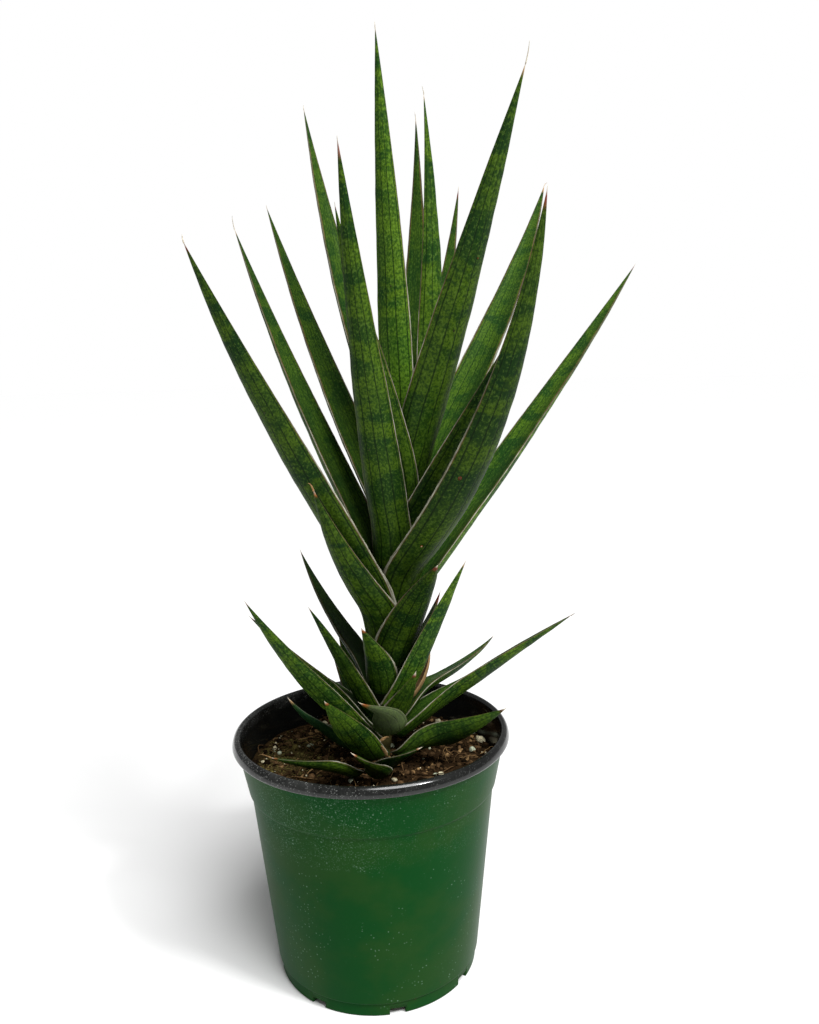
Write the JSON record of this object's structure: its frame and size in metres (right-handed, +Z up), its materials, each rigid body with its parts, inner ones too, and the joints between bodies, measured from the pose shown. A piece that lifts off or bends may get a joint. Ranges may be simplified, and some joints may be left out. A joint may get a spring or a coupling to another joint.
{
  "type": "potted snake plant",
  "caption": "Snake plant with stiff channelled spear leaves up a short leaning stem, in a round tapered plastic nursery pot of potting mix.",
  "frame": {"origin": "centre of the pot's underside, on the surface that it stands on", "axes": "+Z up, -Y towards the front of the pot, +X to the right seen from the front"},
  "size_m": [0.1762, 0.1533, 0.3498],
  "materials": {
    "pot_plastic": "semi-gloss dark green outside, black inside and on the rim, with dust and scuffs",
    "potting_mix": "loose dark brown peat with bark, fibres and white perlite",
    "stem": "green stem, smooth where it shows between the leaf bases",
    "leaf": "tough waxy dark green with paler cross bands, fine lengthwise lines, grey papery margins and brown spine tips",
    "dry_leaf": "dry matt papery tan"
  },
  "bodies": {
    "root": {"pot": "pot_plastic", "potting_mix": "potting_mix", "stem": "stem", "leaf_01": "leaf", "leaf_02": "leaf", "leaf_03": "leaf", "leaf_04": "leaf", "leaf_05": "leaf", "leaf_06": "leaf", "leaf_07": "leaf", "leaf_08": "leaf", "leaf_09": "leaf", "leaf_10": "leaf", "leaf_11": "leaf", "leaf_12": "leaf", "leaf_13": "leaf", "leaf_14": "leaf", "leaf_15": "leaf", "leaf_16": "leaf", "leaf_17": "leaf", "leaf_18": "leaf", "leaf_19": "leaf", "leaf_20": "leaf", "leaf_21": "leaf", "leaf_22": "leaf", "leaf_23": "leaf", "leaf_24": "leaf", "leaf_25": "leaf", "leaf_26": "leaf", "leaf_27": "leaf", "leaf_28": "leaf", "leaf_29": "leaf", "leaf_30": "leaf", "leaf_31": "leaf", "leaf_32": "leaf", "leaf_33": "leaf", "leaf_34": "leaf", "leaf_35": "leaf", "leaf_36": "leaf", "leaf_37": "leaf", "leaf_38": "leaf", "leaf_39": "leaf", "leaf_40": "leaf", "leaf_41": "leaf", "dry_leaf": "dry_leaf"}
  },
  "joints": []
}
